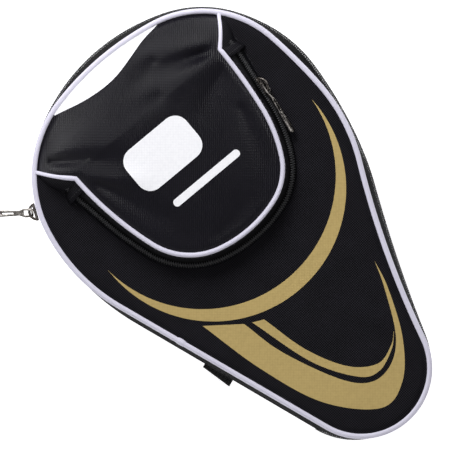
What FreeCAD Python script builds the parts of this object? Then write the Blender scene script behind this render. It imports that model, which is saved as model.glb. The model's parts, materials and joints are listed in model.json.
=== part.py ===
import FreeCAD, Part
import math
import os
import Sketcher

# Table-tennis racket case: two soft shells joined by a zip and a fabric spine, with a ball pocket.
# The case lies on its back: +Z is out of the front, +Y points to the head, +X to the side with the zip.
# The origin is on the back face, near the middle of the head.  Lengths in mm, angles in degrees.

DIMENSIONS = [
    # outer edge of the piping, clockwise from the foot of the spine
    ("edge_start_x", -39.1), ("edge_start_y", -177.9), ("edge_lean", 20.0), ("edge_run", 149.0),
    ("edge_flank_radius", 117.4), ("edge_flank_turn", 33.0),
    ("edge_left_radius", 75.4), ("edge_left_turn", 64.7),
    ("edge_top_radius", 184.2), ("edge_top_turn", 24.4),
    ("edge_right_radius", 66.2), ("edge_right_turn", 68.9),
    ("edge_side_radius", 326.8), ("edge_side_turn", 7.4),
    ("edge_hip_radius", 114.9), ("edge_neck_radius", 564.3), ("edge_tip_radius", 44.1),
    # outer face of the zip teeth, half way up the wall, clockwise from the foot of the spine
    ("zip_start_x", -44.3), ("zip_start_y", -174.5), ("zip_lean", 19.8), ("zip_run", 130.1),
    ("zip_flank_radius", 158.5), ("zip_flank_turn", 25.0),
    ("zip_left_radius", 81.1), ("zip_left_turn", 56.8),
    ("zip_top_radius", 123.2), ("zip_top_turn", 44.6),
    ("zip_right_radius", 87.7), ("zip_right_turn", 76.8),
    ("zip_side_radius", 258.1), ("zip_side_turn", 14.0),
    ("zip_hip_radius", 160.0), ("zip_neck_radius", 900.0), ("zip_tip_radius", 48.1),
    # outer edge of the pocket's piping, from the left kink down, round and up to the right kink
    ("pocket_start_x", -60.0), ("pocket_start_y", 45.0),
    ("pocket_left_leg_radius", 215.0), ("pocket_left_leg_turn", 18.0),
    ("pocket_left_corner_radius", 45.0), ("pocket_left_corner_turn", 57.0),
    ("pocket_bottom_radius", 80.0), ("pocket_bottom_turn", 33.0),
    ("pocket_right_corner_radius", 39.0), ("pocket_right_corner_turn", 44.0),
    ("pocket_lower_leg_radius", 95.0), ("pocket_lower_leg_turn", 20.0),
    ("pocket_upper_leg_turn", 8.0),
    # levels above the back face
    ("case_depth", 34.0), ("fabric_thickness", 1.2), ("board_thickness", 3.0), ("lining_thickness", 0.8),
    ("piping_radius", 1.9), ("piping_level", 2.1),
    ("wall_foot_level", 4.2), ("wall_rim_level", 14.5), ("wall_lining_foot_level", 5.2),
    ("tape_foot_level", 14.6), ("tape_height", 2.25), ("coil_foot_level", 14.9), ("coil_height", 1.95),
    ("binding_level", 5.05), ("binding_thickness", 1.2),
    # distances inside an outline; the second of a pair is the inner face of a ring
    ("panel_inset", 4.2), ("board_inset", 4.6), ("lining_inset", 5.0),
    ("wall_foot_inset", 1.2), ("wall_foot_inner_inset", 3.2),
    ("wall_rim_inset", 1.6), ("wall_rim_inner_inset", 3.2),
    ("wall_lining_inset", 3.7), ("wall_lining_inner_inset", 4.5),
    ("binding_inset", 5.2), ("binding_inner_inset", 8.2),
    ("tape_inset", 1.9), ("tape_inner_inset", 2.7), ("coil_inset", 0.1), ("coil_inner_inset", 1.7),
    ("strip_inset", 0.8), ("strip_inner_inset", 2.8), ("strip_foot_level", 14.6), ("strip_height", 4.8),
    # where the zip ends on the left flank
    ("zip_upper_end_y", 35.0),
    # hanging loop of folded webbing in the spine
    ("loop_length", 21.0), ("loop_reach", 6.2), ("loop_thickness", 2.6), ("loop_level", 6.2),
    ("loop_along", 70.0),
    # ball pocket: heights above the front face and distances inside (+) or outside (-) its outline
    ("pocket_height", 18.0), ("pocket_panel_inset", 3.6), ("pocket_lining_inset", 4.0),
    ("pocket_piping_radius", 1.7), ("pocket_band_thickness", 1.0), ("pocket_cut_margin", 20.0),
    ("rim_top_height", 14.4), ("rim_top_inset", 0.8), ("rim_foot_height", 9.5), ("rim_foot_inset", -2.2),
    ("upper_tape_top_height", 9.4), ("upper_tape_foot_height", 7.2), ("upper_tape_foot_inset", -3.4),
    ("upper_coil_top_height", 7.1), ("upper_coil_height", 1.0), ("upper_coil_inset", -4.4),
    ("upper_coil_inner_inset", -3.2),
    ("lower_coil_top_height", 6.0), ("lower_coil_height", 1.0), ("lower_coil_inset", -5.4),
    ("lower_coil_inner_inset", -4.0),
    ("lower_tape_top_height", 4.9), ("lower_tape_top_inset", -4.9), ("lower_tape_foot_height", 2.8),
    ("lower_tape_foot_inset", -6.1),
    ("side_wall_top_height", 2.7), ("side_wall_top_inset", -6.1), ("side_wall_foot_height", 0.1),
    ("side_wall_foot_inset", -7.6),
    ("crown_inset", 4.4), ("crown_edge_height", 2.0), ("crown_gap", 1.2), ("end_tab_height", 5.0),
    ("crown_flare", 12.0), ("crown_flare_rise", 14.0), ("crown_shoulder", 4.0), ("crown_clearance", 5.0),
    # zip sliders and pulls
    ("plate_length", 11.0), ("plate_thickness", 1.2), ("plate_gap", 0.5),
    ("plate_nose", 2.0), ("plate_nose_depth", 0.5), ("arch_sink", 0.3), ("eye_chamfer", 1.0),
    ("main_plate_drop", 4.2), ("main_plate_rise", 4.2), ("pocket_plate_drop", 4.2),
    ("pocket_plate_rise", 2.0),
    ("arch_radius", 5.6), ("arch_thickness", 1.3), ("arch_width", 1.4), ("arch_centre", -0.2),
    ("pull_pivot_distance", 2.9), ("pull_length", 35.0), ("pull_thickness", 1.2), ("pull_eye_width", 6.4),
    ("pull_end_width", 6.0), ("pull_neck_width", 3.4), ("pull_neck_distance", 8.5),
    ("eye_hole_start", 0.7), ("eye_hole_end", 5.3), ("eye_hole_width", 4.0),
    ("slot_start", 12.0), ("slot_length", 7.0), ("slot_width", 1.6),
    ("main_slider_heading", 23.7), ("main_pull_swing", -16.0), ("main_pull_tilt", 25.0),
    ("pocket_slider_heading", 5.9), ("pocket_wall_slope", 31.0), ("pocket_coil_mid_inset", -5.0),
    ("pocket_coil_mid_height", 6.0), ("pocket_pull_swing", -3.0),
    # lines that only trim a piece: how far they stand clear of the case, and inside its spine
    ("beyond_case", 250.0), ("spine_cut_reach", 20.0),
]

# Corners of an end tab: outward and upward from the pocket's kink.
END_TAB_CORNERS = [(1.0, 0.3), (10.6, 12.3), (16.5, 3.5), (10.5, -7.0), (8.2, -7.0), (8.2, 0.3)]

Vector = FreeCAD.Vector
Rotation = FreeCAD.Rotation
UP = Vector(0, 0, 1)
SHELL_ARCS = ["flank", "left", "top", "right", "side", "hip", "neck", "tip"]
POCKET_ARCS = ["left_leg", "left_corner", "bottom", "right_corner", "lower_leg", "upper_leg"]

doc = FreeCAD.newDocument("RacketCase")
sheet = doc.addObject("Spreadsheet::Sheet", "Dims")
for row, (alias, value) in enumerate(DIMENSIONS, start=1):
    sheet.set(f"A{row}", alias)
    sheet.set(f"B{row}", str(value))
    sheet.setAlias(f"B{row}", alias)
doc.recompute()

parts = []


def size(alias):
    """The number in one cell of the sheet."""
    return float(sheet.get(alias))


def forward(heading):
    """Unit vector at a heading in radians, clockwise from +Y."""
    return Vector(math.sin(heading), math.cos(heading), 0)


def to_right(heading):
    return Vector(math.cos(heading), -math.sin(heading), 0)


# ---------------------------------------------------------------- outlines

class Arc:
    """One arc of an outline, between two headings; its centre is inside, or outside if hollow."""

    def __init__(self, name, centre, radius, start, end, inward, hollow=False):
        self.name = name
        self.centre = centre
        self.radius = radius
        self.start = start
        self.end = end
        self.inward = inward
        self.hollow = hollow

    def point(self, heading):
        side = 1 if self.hollow else -1
        return self.centre + self.inward(heading) * (side * self.radius)

    def edge(self):
        """The circle arc, which runs anticlockwise, and which of its ends comes first in the outline."""
        first = self.point(self.start) - self.centre
        last = self.point(self.end) - self.centre
        angles = [math.atan2(first.y, first.x), math.atan2(last.y, last.x)]
        anticlockwise = (first.cross(last)).z > 0
        if not anticlockwise:
            angles.reverse()
        circle = Part.Circle(self.centre, UP, self.radius)
        return Part.ArcOfCircle(circle, *angles), ((1, 2) if anticlockwise else (2, 1))


def shell_outline(prefix, inset):
    """Spine line and eight tangent arcs, clockwise; the last three close the outline on its first point."""
    lean = math.radians(size(prefix + "_lean"))
    start = Vector(size(prefix + "_start_x"), size(prefix + "_start_y"), 0) + to_right(-lean) * inset
    heading = -lean
    here = start + forward(heading) * size(prefix + "_run")
    line = (start, here)
    arcs = []
    for name in SHELL_ARCS[:5]:
        radius = size(f"{prefix}_{name}_radius") - inset
        centre = here + to_right(heading) * radius
        end = heading + math.radians(size(f"{prefix}_{name}_turn"))
        arcs.append(Arc(name, centre, radius, heading, end, to_right))
        heading = end
        here = arcs[-1].point(end)
    hip_radius = size(prefix + "_hip_radius") - inset
    neck_radius = size(prefix + "_neck_radius") + inset
    tip_radius = size(prefix + "_tip_radius") - inset
    hip_centre = here + to_right(heading) * hip_radius
    tip_centre = start + to_right(-lean) * tip_radius
    between = tip_centre - hip_centre
    to_neck = hip_radius + neck_radius
    along = (to_neck**2 - (tip_radius + neck_radius)**2 + between.Length**2) / (2 * between.Length)
    across = math.sqrt(to_neck**2 - along**2)
    unit = between * (1 / between.Length)
    neck_centre = hip_centre + unit * along + Vector(-unit.y, unit.x, 0) * across
    hip_out = neck_centre - hip_centre
    tip_out = neck_centre - tip_centre
    hip_end = math.atan2(hip_out.y, -hip_out.x) % (2 * math.pi)
    neck_end = math.atan2(tip_out.y, -tip_out.x) % (2 * math.pi)
    arcs.append(Arc("hip", hip_centre, hip_radius, heading, hip_end, to_right))
    arcs.append(Arc("neck", neck_centre, neck_radius, hip_end, neck_end, to_right, hollow=True))
    arcs.append(Arc("tip", tip_centre, tip_radius, neck_end, 2 * math.pi - lean, to_right))
    return line, arcs


def pocket_outline(inset):
    """Six tangent arcs from the left kink to the right one, anticlockwise, and the level top between them.

    The last arc's radius follows from the others: it ends level with the start.
    """
    def to_left(heading):
        return to_right(heading) * -1

    heading = math.pi
    here = Vector(size("pocket_start_x") + inset, size("pocket_start_y"), 0)
    start = here
    arcs = []
    for name in POCKET_ARCS:
        turn = math.radians(size(f"pocket_{name}_turn"))
        if name == POCKET_ARCS[-1]:
            radius = (start.y - here.y) / math.sin(turn)
        else:
            radius = size(f"pocket_{name}_radius") - inset
        centre = here + to_left(heading) * radius
        end = heading - turn
        arcs.append(Arc(name, centre, radius, heading, end, to_left))
        heading = end
        here = arcs[-1].point(end)
    return (here, start), arcs


# ---------------------------------------------------------------- sketches

def named(sketch, name, constraint, expression):
    """Add a constraint and bind its value to the sheet."""
    index = sketch.addConstraint(constraint)
    sketch.renameConstraint(index, name)
    sketch.setExpression("Constraints." + name, expression)


def origin_plane(body, role):
    return next(item for item in body.Origin.OriginFeatures if item.Role == role)


def new_sketch(body, name, level="0", role="XY_Plane"):
    """A sketch on a plane of its body's origin, moved along the plane's normal to the level."""
    sketch = body.newObject("Sketcher::SketchObject", name)
    sketch.AttachmentSupport = [(origin_plane(body, role), "")]
    sketch.MapMode = "FlatFace"
    if level != "0":
        sketch.setExpression("AttachmentOffset.Base.z", level)
    return sketch


def draw_shell_outline(sketch, prefix, inset_cell=None):
    """Draw one shell outline, fully constrained by the sheet."""
    inset = size(inset_cell) if inset_cell else 0.0
    inset_term = f"Dims.{inset_cell}" if inset_cell else "0 mm"
    line, arcs = shell_outline(prefix, inset)
    base = sketch.addGeometry(Part.LineSegment(*line))
    ends = [(base, 1, 2)]
    for arc in arcs:
        edge, (first, last) = arc.edge()
        ends.append((sketch.addGeometry(edge), first, last))
    tag = inset_cell or "edge"
    for (this, _, last), (following, first, _) in zip(ends, ends[1:] + ends[:1]):
        sketch.addConstraint(Sketcher.Constraint("Tangent", this, last, following, first))
    for arc, (index, _, _) in zip(arcs, ends[1:]):
        sign = "+" if arc.hollow else "-"
        named(sketch, f"{tag}_{arc.name}_radius", Sketcher.Constraint("Radius", index, arc.radius),
              f"Dims.{prefix}_{arc.name}_radius {sign} {inset_term}")
    for arc, (index, _, _) in zip(arcs[:5], ends[1:]):
        named(sketch, f"{tag}_{arc.name}_turn", Sketcher.Constraint("Angle", index, arc.end - arc.start),
              f"Dims.{prefix}_{arc.name}_turn * 1 deg")
    lean = f"Dims.{prefix}_lean * 1 deg"
    start = line[0]
    named(sketch, tag + "_start_x", Sketcher.Constraint("DistanceX", base, 1, -1, 1, -start.x),
          f"-Dims.{prefix}_start_x - {inset_term} * cos({lean})")
    named(sketch, tag + "_start_y", Sketcher.Constraint("DistanceY", base, 1, -1, 1, -start.y),
          f"-Dims.{prefix}_start_y - {inset_term} * sin({lean})")
    heading = math.radians(90 + size(prefix + "_lean"))
    named(sketch, tag + "_lean", Sketcher.Constraint("Angle", base, heading), f"90 deg + {lean}")
    named(sketch, tag + "_run", Sketcher.Constraint("Distance", base, size(prefix + "_run")),
          f"Dims.{prefix}_run")


def draw_pocket_outline(sketch, inset_cell, extra="", open_top=False):
    """Draw the pocket's outline at an inset, closed between the kinks, or well above them if it cuts."""
    inset = size(inset_cell)
    inset_term = f"Dims.{inset_cell}"
    if extra:
        inset += size(extra)
        inset_term = f"({inset_term} + Dims.{extra})"
    top, arcs = pocket_outline(inset)
    ends = []
    for arc in arcs:
        edge, (first, last) = arc.edge()
        ends.append((sketch.addGeometry(edge), first, last))
    for (this, _, last), (following, first, _) in zip(ends, ends[1:]):
        sketch.addConstraint(Sketcher.Constraint("Tangent", this, last, following, first))
    corners = [top[0], top[1]]
    if open_top:
        height = top[1].y + size("pocket_cut_margin")
        corners = [top[0], Vector(top[0].x, height, 0), Vector(top[1].x, height, 0), top[1]]
    closing = [sketch.addGeometry(Part.LineSegment(*pair)) for pair in zip(corners, corners[1:])]
    joints = [(ends[-1][0], ends[-1][2])] + [(line, 2) for line in closing]
    for (this, last), following in zip(joints, closing):
        sketch.addConstraint(Sketcher.Constraint("Coincident", this, last, following, 1))
    sketch.addConstraint(Sketcher.Constraint("Coincident", *joints[-1], ends[0][0], ends[0][1]))
    if open_top:
        for kind, line in zip(("Vertical", "Horizontal", "Vertical"), closing):
            sketch.addConstraint(Sketcher.Constraint(kind, line))
        named(sketch, "cut_margin", Sketcher.Constraint("Distance", closing[2], size("pocket_cut_margin")),
              "Dims.pocket_cut_margin")
        sketch.addConstraint(Sketcher.Constraint("Equal", closing[0], closing[2]))
    else:
        sketch.addConstraint(Sketcher.Constraint("Horizontal", closing[0]))
    for arc, (index, _, _) in zip(arcs, ends):
        if arc.name != POCKET_ARCS[-1]:
            named(sketch, arc.name + "_radius", Sketcher.Constraint("Radius", index, arc.radius),
                  f"Dims.pocket_{arc.name}_radius - {inset_term}")
        named(sketch, arc.name + "_turn", Sketcher.Constraint("Angle", index, arc.start - arc.end),
              f"Dims.pocket_{arc.name}_turn * 1 deg")
    first_arc, first_end, _ = ends[0]
    start = top[1]
    named(sketch, "start_x", Sketcher.Constraint("DistanceX", first_arc, first_end, -1, 1, -start.x),
          f"-Dims.pocket_start_x - {inset_term}")
    named(sketch, "start_y", Sketcher.Constraint("DistanceY", -1, 1, first_arc, first_end, start.y),
          "Dims.pocket_start_y * 1 mm")
    sketch.addConstraint(Sketcher.Constraint("Horizontal", first_arc, first_end, first_arc, 3))


def draw_polygon(sketch, points):
    """Straight lines through points given in the sketch's own plane, joined end to end and held in place."""
    count = len(points)
    indices = []
    for this, following in zip(points, points[1:] + points[:1]):
        indices.append(sketch.addGeometry(Part.LineSegment(Vector(*this, 0), Vector(*following, 0))))
    for number, index in enumerate(indices):
        sketch.addConstraint(Sketcher.Constraint("Coincident", index, 2, indices[(number + 1) % count], 1))
        sketch.addConstraint(Sketcher.Constraint("Block", index))


# ---------------------------------------------------------------- features

def new_body(name):
    body = doc.addObject("PartDesign::Body", name)
    body.Label = name
    parts.append(body)
    return body


def pad(body, sketch, length, reverse=False):
    feature = body.newObject("PartDesign::Pad", sketch.Name + "_pad")
    feature.Profile = sketch
    feature.setExpression("Length", length)
    feature.Reversed = reverse
    sketch.Visibility = False
    body.Tip = feature
    return feature


def pad_both_ways(body, sketch, length):
    feature = pad(body, sketch, length)
    feature.Midplane = True
    return feature


def cut_through(body, sketch):
    """Cut the sketch's region out of the body, on both sides of its plane."""
    doc.recompute()
    before = body.Tip.Shape.Volume
    feature = body.newObject("PartDesign::Pocket", sketch.Name + "_cut")
    feature.Profile = sketch
    feature.Type = "ThroughAll"
    feature.Midplane = True
    body.Tip = feature
    doc.recompute()
    if not feature.Shape.Volume < before:
        raise SystemExit(f"{feature.Name} cut nothing")
    return feature


def level(cell, front):
    """A level measured from the outer face of the back shell, or of the front shell."""
    return f"Dims.case_depth - Dims.{cell}" if front else f"Dims.{cell} * 1"


def flat_layer(name, front, inset_cell, base, thickness_cell):
    """A layer of a panel: a plate with the outline of the edge; its base is a list of cells to add up."""
    body = new_body(name)
    depth = " + ".join(f"Dims.{cell}" for cell in base) if base else "0"
    height = f"Dims.case_depth - ({depth})" if front else depth
    sketch = new_sketch(body, name + "_outline", height)
    draw_shell_outline(sketch, "edge", inset_cell)
    pad(body, sketch, f"Dims.{thickness_cell}", reverse=front)


def flat_ring(name, front, prefix, outer_cell, inner_cell, base_cell, thickness_cell):
    """A ring between two insets of an outline."""
    body = new_body(name)
    sketch = new_sketch(body, name + "_outline", level(base_cell, front))
    draw_shell_outline(sketch, prefix, outer_cell)
    draw_shell_outline(sketch, prefix, inner_cell)
    pad(body, sketch, f"Dims.{thickness_cell}", reverse=front)
    return body


def loft(body, kind, lower, upper):
    feature = body.newObject("PartDesign::" + kind, lower.Name + "_loft")
    feature.Profile = lower
    feature.Sections = [upper]
    feature.Ruled = True
    feature.Closed = False
    body.Tip = feature


def sloping_ring(name, front, foot, rim):
    """A wall from the edge outline to the zip outline; foot and rim are (outer inset, inner inset, level)."""
    body = new_body(name)
    for kind, side in (("AdditiveLoft", 0), ("SubtractiveLoft", 1)):
        lower = new_sketch(body, f"{name}_foot_{side}", level(foot[2], front))
        draw_shell_outline(lower, "edge", foot[side])
        upper = new_sketch(body, f"{name}_rim_{side}", level(rim[2], front))
        draw_shell_outline(upper, "zip", rim[side])
        loft(body, kind, lower, upper)
    return body


def hinge_region():
    """Corners of the region of the spine, between the two ends of the zip."""
    (foot, _), _ = shell_outline("zip", 0)
    across = to_right(-math.radians(size("zip_lean"))) * size("spine_cut_reach")
    inner = foot + across
    outer = foot - across
    top = size("zip_upper_end_y")
    far = -size("beyond_case")
    return [(inner.x, top), (far, top), (far, far), (outer.x, far), (outer.x, outer.y), (inner.x, inner.y)]


def far_square():
    """Corners of a square that holds the whole case, drawn round a region to cut away all but the region."""
    far = 2 * size("beyond_case")
    return [(-far, -far), (far, -far), (far, far), (-far, far)]


def keep_zip(body):
    """Leave only the zip's part of a ring."""
    sketch = new_sketch(body, body.Name + "_spine_region")
    draw_polygon(sketch, hinge_region())
    cut_through(body, sketch)


def keep_spine(body):
    """Leave only the spine's part of a ring."""
    sketch = new_sketch(body, body.Name + "_zip_region")
    draw_polygon(sketch, far_square())
    draw_polygon(sketch, hinge_region())
    cut_through(body, sketch)


def piping(name, front):
    """A round cord swept once round the edge of a panel."""
    body = new_body(name)
    height = level("piping_level", front)
    path = new_sketch(body, name + "_path", height)
    draw_shell_outline(path, "edge", "piping_radius")
    profile = body.newObject("Sketcher::SketchObject", name + "_section")
    profile.AttachmentSupport = [(origin_plane(body, "XZ_Plane"), "")]
    profile.MapMode = "FlatFace"
    lean = "Dims.edge_lean * 1 deg"
    profile.setExpression("AttachmentOffset.Base.x", f"Dims.edge_start_x + Dims.piping_radius * cos({lean})")
    profile.setExpression("AttachmentOffset.Base.y", height)
    profile.setExpression("AttachmentOffset.Base.z",
                          f"-(Dims.edge_start_y + Dims.piping_radius * sin({lean}))")
    profile.AttachmentOffset = FreeCAD.Placement(Vector(0, 0, 0), Rotation(Vector(0, 1, 0), 1))
    profile.setExpression("AttachmentOffset.Rotation.Angle", lean)
    circle = profile.addGeometry(Part.Circle(Vector(0, 0, 0), UP, size("piping_radius")))
    profile.addConstraint(Sketcher.Constraint("Coincident", circle, 3, -1, 1))
    radius = Sketcher.Constraint("Radius", circle, size("piping_radius"))
    named(profile, "radius", radius, "Dims.piping_radius")
    pipe = body.newObject("PartDesign::AdditivePipe", name + "_pipe")
    pipe.Profile = profile
    pipe.Spine = (path, [])
    body.Tip = pipe


# ---------------------------------------------------------------- the two shells

def shell(side, front):
    flat_layer(side + "_panel", front, "panel_inset", [], "fabric_thickness")
    flat_layer(side + "_foam_board", front, "board_inset", ["fabric_thickness"], "board_thickness")
    flat_layer(side + "_lining", front, "lining_inset", ["fabric_thickness", "board_thickness"],
               "lining_thickness")
    piping(side + "_piping", front)
    sloping_ring(side + "_wall", front, ("wall_foot_inset", "wall_foot_inner_inset", "wall_foot_level"),
                 ("wall_rim_inset", "wall_rim_inner_inset", "wall_rim_level"))
    sloping_ring(side + "_wall_lining", front,
                 ("wall_lining_inset", "wall_lining_inner_inset", "wall_lining_foot_level"),
                 ("wall_lining_inset", "wall_lining_inner_inset", "wall_rim_level"))
    flat_ring(side + "_seam_binding", front, "edge", "binding_inset", "binding_inner_inset", "binding_level",
              "binding_thickness")
    keep_zip(flat_ring(side + "_zip_tape", front, "zip", "tape_inset", "tape_inner_inset", "tape_foot_level",
                       "tape_height"))
    keep_zip(flat_ring(side + "_zip_coil", front, "zip", "coil_inset", "coil_inner_inset", "coil_foot_level",
                       "coil_height"))


def spine_strip():
    keep_spine(flat_ring("spine_hinge_strip", False, "zip", "strip_inset", "strip_inner_inset",
                         "strip_foot_level", "strip_height"))


def spine_loop():
    """Folded webbing, sewn into the back wall and standing out of the spine."""
    body = new_body("spine_loop")
    lean = -math.radians(size("zip_lean"))
    (foot, _), _ = shell_outline("zip", size("wall_rim_inset"))
    sketch = new_sketch(body, "spine_loop_outline", "Dims.loop_level")
    half = size("loop_length") / 2
    reach = size("loop_reach")
    corners = [(-half, 0), (half, 0), (half, reach), (-half, reach)]
    middle = foot + forward(lean) * size("loop_along")
    points = []
    for along, out in corners:
        corner = middle + forward(lean) * along - to_right(lean) * out
        points.append((corner.x, corner.y))
    draw_polygon(sketch, points)
    pad(body, sketch, "Dims.loop_thickness")


# ---------------------------------------------------------------- ball pocket

def front_height(cell):
    return f"Dims.case_depth + Dims.{cell}"


def pocket_layer(name, inset_cell, height, thickness):
    body = new_body(name)
    sketch = new_sketch(body, name + "_outline", height)
    draw_pocket_outline(sketch, inset_cell)
    pad(body, sketch, thickness)


def pocket_band(name, top, foot):
    """A band of the pocket's side, open at the kinks; top and foot are (inset cell, height cell)."""
    body = new_body(name)
    for kind, extra in (("AdditiveLoft", ""), ("SubtractiveLoft", "pocket_band_thickness")):
        lower = new_sketch(body, f"{name}_foot_{extra}", front_height(foot[1]))
        draw_pocket_outline(lower, foot[0], extra, open_top=bool(extra))
        upper = new_sketch(body, f"{name}_top_{extra}", front_height(top[1]))
        draw_pocket_outline(upper, top[0], extra, open_top=bool(extra))
        loft(body, kind, lower, upper)


def pocket_coil(name, outer_cell, inner_cell, top_cell, height_cell):
    """A row of teeth, as a solid ring between two insets; it is open at the kinks."""
    body = new_body(name)
    outer = new_sketch(body, name + "_outer", front_height(top_cell))
    draw_pocket_outline(outer, outer_cell)
    pad(body, outer, f"Dims.{height_cell}", reverse=True)
    inner = new_sketch(body, name + "_inner", front_height(top_cell))
    draw_pocket_outline(inner, inner_cell, open_top=True)
    cut_through(body, inner)


def pocket_piping():
    """A cord round the pocket's edge, from one kink to the other."""
    radius = size("pocket_piping_radius")
    _, arcs = pocket_outline(radius)
    height = size("case_depth") + size("pocket_height") - radius
    edges = []
    for arc in arcs:
        edge = arc.edge()[0].toShape()
        edge.translate(Vector(0, 0, height))
        edges.append(edge)
    path = Part.Wire(Part.__sortEdges__(edges))
    start = arcs[0].point(arcs[0].start) + UP * height
    section = Part.Wire(Part.Edge(Part.Circle(start, Vector(0, 1, 0), radius)))
    feature = doc.addObject("Part::Feature", "pocket_piping")
    feature.Label = "pocket_piping"
    feature.Shape = path.makePipeShell([section], True, False)
    parts.append(feature)


def pocket_crown():
    """The pocket panel above the kinks, sloping down to the head's edge, where it is sewn in."""
    body = new_body("pocket_crown")
    sketch = new_sketch(body, "pocket_crown_outline", "Dims.case_depth")
    draw_shell_outline(sketch, "edge", "crown_inset")
    pad(body, sketch, "Dims.pocket_height")
    hinge_y = size("pocket_start_y") + size("crown_gap")
    (right_kink, left_kink), _ = pocket_outline(0)
    region = new_sketch(body, "pocket_crown_region")
    draw_polygon(region, far_square())
    flare = size("crown_flare")
    end_y = hinge_y + size("crown_flare_rise")
    far = size("beyond_case")
    draw_polygon(region, [(left_kink.x, hinge_y), (right_kink.x, hinge_y), (right_kink.x + flare, end_y),
                          (far, far), (-far, far), (left_kink.x - flare, end_y)])
    cut_through(body, region)
    profile = new_sketch(body, "pocket_crown_profile", role="YZ_Plane")
    top = size("case_depth") + size("pocket_height")
    low = size("case_depth") + size("crown_edge_height")
    head_y = max(arc.point(0.5 * (arc.start + arc.end)).y for arc in shell_outline("edge", 0)[1])
    thick = size("fabric_thickness")
    clear = size("crown_clearance")
    before = hinge_y - clear
    shoulder = hinge_y + size("crown_shoulder")
    draw_polygon(profile, [(before, top), (shoulder, top), (head_y, low), (head_y, top + clear),
                           (before, top + clear)])
    cut_through(body, profile)
    underside = new_sketch(body, "pocket_crown_underside", role="YZ_Plane")
    draw_polygon(underside, [(before, top - thick), (shoulder, top - thick), (head_y, low - thick),
                             (head_y, 0), (before, 0)])
    cut_through(body, underside)


def pocket_end_tab(side):
    """Fabric that covers one end of the pocket's zip, between the kink and the case's edge."""
    (right_kink, left_kink), _ = pocket_outline(0)
    kink, sign = (right_kink, 1) if side == "right" else (left_kink, -1)
    body = new_body("pocket_end_tab_" + side)
    sketch = new_sketch(body, body.Name + "_outline", "Dims.case_depth")
    points = [(kink.x + sign * across, kink.y + along) for across, along in END_TAB_CORNERS]
    draw_polygon(sketch, points)
    pad(body, sketch, "Dims.end_tab_height")


def pocket():
    pocket_layer("pocket_panel", "pocket_panel_inset",
                 "Dims.case_depth + Dims.pocket_height - Dims.fabric_thickness", "Dims.fabric_thickness")
    pocket_layer("pocket_lining", "pocket_lining_inset",
                 "Dims.case_depth + Dims.pocket_height - Dims.fabric_thickness - Dims.lining_thickness",
                 "Dims.lining_thickness")
    pocket_piping()
    pocket_band("pocket_rim", ("rim_top_inset", "rim_top_height"), ("rim_foot_inset", "rim_foot_height"))
    pocket_band("pocket_upper_tape", ("rim_foot_inset", "upper_tape_top_height"),
                ("upper_tape_foot_inset", "upper_tape_foot_height"))
    pocket_coil("pocket_upper_coil", "upper_coil_inset", "upper_coil_inner_inset", "upper_coil_top_height",
                "upper_coil_height")
    pocket_coil("pocket_lower_coil", "lower_coil_inset", "lower_coil_inner_inset", "lower_coil_top_height",
                "lower_coil_height")
    pocket_band("pocket_lower_tape", ("lower_tape_top_inset", "lower_tape_top_height"),
                ("lower_tape_foot_inset", "lower_tape_foot_height"))
    pocket_band("pocket_side_wall", ("side_wall_top_inset", "side_wall_top_height"),
                ("side_wall_foot_inset", "side_wall_foot_height"))
    pocket_crown()
    pocket_end_tab("left")
    pocket_end_tab("right")


# ---------------------------------------------------------------- sliders and pulls

def slider(name, drop_cell, rise_cell, placement):
    """A slider's plate and its arch: X along the zip, Y out of the wall, Z up the wall."""
    body = new_body(name)
    half = size("plate_length") / 2
    inner = size("plate_gap")
    outer = inner + size("plate_thickness")
    plate = new_sketch(body, name + "_plate", f"-Dims.{drop_cell}")
    nose = size("plate_nose")
    shoulder = outer - size("plate_nose_depth")
    draw_polygon(plate, [(-half, inner), (half, inner), (half, shoulder), (half - nose, outer),
                         (-half + nose, outer), (-half, shoulder)])
    pad(body, plate, f"Dims.{drop_cell} + Dims.{rise_cell}")
    arch = new_sketch(body, name + "_arch")
    centre = Vector(0, size("arch_centre"), 0)
    radii = [size("arch_radius"), size("arch_radius") - size("arch_thickness")]
    foot = outer - size("arch_sink")
    feet = []
    for radius in radii:
        lean = math.asin((foot - centre.y) / radius)
        arch.addGeometry(Part.ArcOfCircle(Part.Circle(centre, UP, radius), lean, math.pi - lean))
        feet.append(radius * math.cos(lean))
    for sign in (1, -1):
        arch.addGeometry(Part.LineSegment(Vector(sign * feet[0], foot, 0), Vector(sign * feet[1], foot, 0)))
    for arc in (0, 1):
        for line, end in ((2, 1), (3, 2)):
            arch.addConstraint(Sketcher.Constraint("Coincident", arc, end, line, 1 + arc))
        arch.addConstraint(Sketcher.Constraint("Block", arc))
    pad_both_ways(body, arch, "Dims.arch_width")
    body.Placement = placement


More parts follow.
